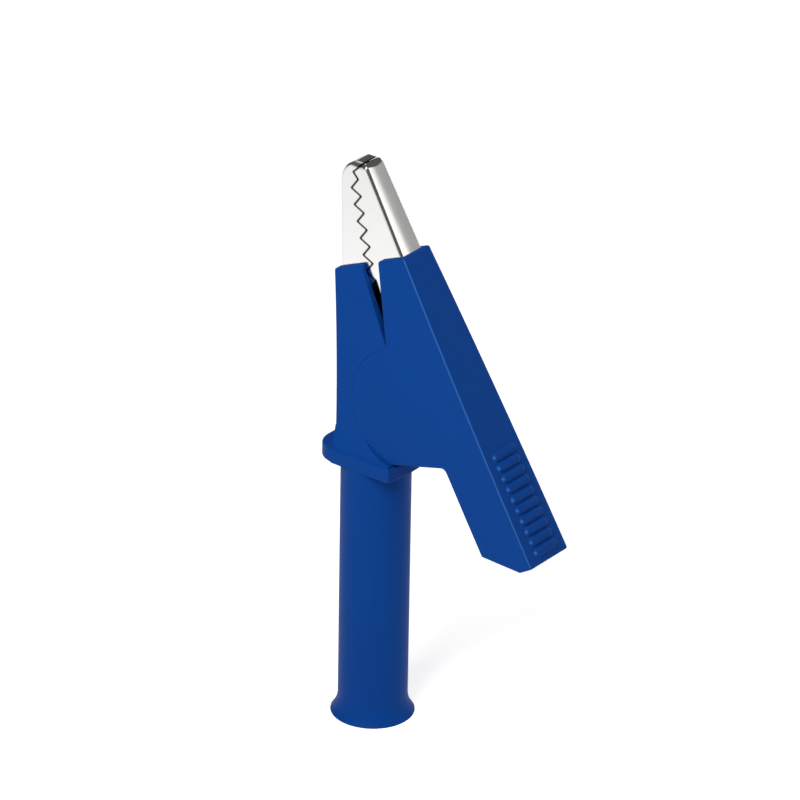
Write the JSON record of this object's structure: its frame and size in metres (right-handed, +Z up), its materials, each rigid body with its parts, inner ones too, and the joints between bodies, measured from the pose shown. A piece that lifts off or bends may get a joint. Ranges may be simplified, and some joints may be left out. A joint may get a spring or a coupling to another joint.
{
  "type": "insulated crocodile clip",
  "caption": "Insulated crocodile clip with toothed sprung jaws, a thumb lever and a long round sleeve with a recessed socket for a test plug.",
  "frame": {"origin": "centre of the sleeve's mouth, on the axis of the plug socket", "axes": "+Z up the sleeve's axis towards the jaws, +X towards the lever, Y across the clip along the rivet"},
  "size_m": [0.0417, 0.0132, 0.094],
  "materials": {
    "moulded_plastic": "blue moulded polyamide, satin gloss",
    "nickel_plated_steel": "bright nickel plate on pressed steel",
    "nickel_plated_brass": "nickel plate on turned brass",
    "spring_wire": "bare drawn spring wire"
  },
  "bodies": {
    "root": {"insulating_body": "moulded_plastic", "fixed_jaw": "nickel_plated_steel", "contact_socket": "nickel_plated_brass", "contact_insulator": "moulded_plastic", "socket_washer": "nickel_plated_brass", "pivot_rivet": "nickel_plated_brass", "pivot_bush": "nickel_plated_brass", "torsion_spring": "spring_wire"},
    "lever": {"lever_cover": "moulded_plastic", "moving_jaw": "nickel_plated_steel"}
  },
  "joints": [
    {"name": "lever_pivot", "type": "hinge", "parent": "root", "child": "lever", "pos_m": [0.00854, 0, 0.05666], "axis": [0, 1, 0], "range_deg": [0, 22], "stiffness_Nm_per_rad": 0.03, "springref_deg": -57.3, "deforming": ["torsion_spring"]}
  ]
}
